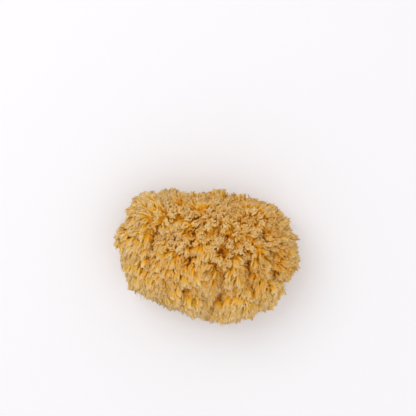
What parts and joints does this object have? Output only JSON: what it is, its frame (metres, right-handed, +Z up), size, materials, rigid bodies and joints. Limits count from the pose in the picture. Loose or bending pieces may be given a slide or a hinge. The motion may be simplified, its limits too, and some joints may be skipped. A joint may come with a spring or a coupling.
{
  "type": "natural sea sponge",
  "caption": "Natural bath sponge, lobed and tufted all over, cut flat underneath so that it rests with its tufts up.",
  "frame": {"origin": "on the flat cut base, under the middle of the sponge's box", "axes": "+Z up from the cut base to the crown, +X along the sponge's width, +Y across it to the longer, straighter side"},
  "size_m": [0.156, 0.114, 0.09],
  "materials": {
    "spongin": "matte, fibrous, slightly translucent"
  },
  "bodies": {
    "root": {"sponge": "spongin"}
  },
  "joints": []
}
